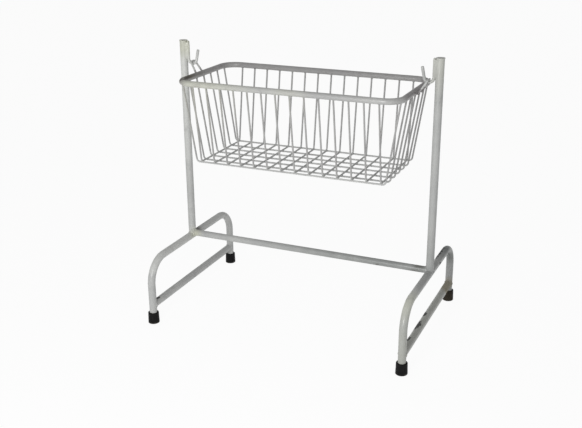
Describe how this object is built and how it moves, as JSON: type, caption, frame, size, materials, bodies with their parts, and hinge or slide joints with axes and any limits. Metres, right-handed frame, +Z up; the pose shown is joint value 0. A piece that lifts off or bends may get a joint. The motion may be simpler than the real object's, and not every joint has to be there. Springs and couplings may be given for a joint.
{
  "type": "hospital bassinet",
  "caption": "Wire baby basket with sloping sides, hung by bails on hooks between two tube uprights of a welded stand on rubber-footed leg frames.",
  "frame": {"origin": "on the floor, below the middle of the stand: the centre of the footprint", "axes": "+Z up, +X along the basket from the left leg frame to the right one, +Y to the rear"},
  "size_m": [0.913, 0.6, 0.912],
  "materials": {
    "stand_paint": "satin",
    "basket_paint": "satin",
    "foot_rubber": "matte",
    "washer_steel": "brushed"
  },
  "bodies": {
    "stand": {"left_leg_frame": "stand_paint", "left_brace": "stand_paint", "left_upright": "stand_paint", "left_upright_cap": "stand_paint", "left_hook": "stand_paint", "right_leg_frame": "stand_paint", "right_brace": "stand_paint", "right_upright": "stand_paint", "right_upright_cap": "stand_paint", "right_hook": "stand_paint", "crossbar": "stand_paint", "foot_front_left": "foot_rubber", "foot_front_right": "foot_rubber", "foot_rear_left": "foot_rubber", "foot_rear_right": "foot_rubber", "foot_washer_front_left": "washer_steel", "foot_washer_front_right": "washer_steel", "foot_washer_rear_left": "washer_steel", "foot_washer_rear_right": "washer_steel"},
    "basket": {"basket_rim": "basket_paint", "cross_wire_01": "basket_paint", "cross_wire_02": "basket_paint", "cross_wire_03": "basket_paint", "cross_wire_04": "basket_paint", "cross_wire_05": "basket_paint", "cross_wire_06": "basket_paint", "cross_wire_07": "basket_paint", "cross_wire_08": "basket_paint", "cross_wire_09": "basket_paint", "cross_wire_10": "basket_paint", "cross_wire_11": "basket_paint", "cross_wire_12": "basket_paint", "cross_wire_13": "basket_paint", "cross_wire_14": "basket_paint", "long_wire_1": "basket_paint", "long_wire_2": "basket_paint", "long_wire_3": "basket_paint", "long_wire_4": "basket_paint", "long_wire_5": "basket_paint", "long_wire_6": "basket_paint", "long_wire_7": "basket_paint", "left_bail": "basket_paint", "right_bail": "basket_paint"}
  },
  "joints": [
    {"name": "basket_swing", "type": "hinge", "parent": "stand", "child": "basket", "pos_m": [0, 0, 0.836], "axis": [1, 0, 0], "range_deg": [-25, 25]}
  ]
}
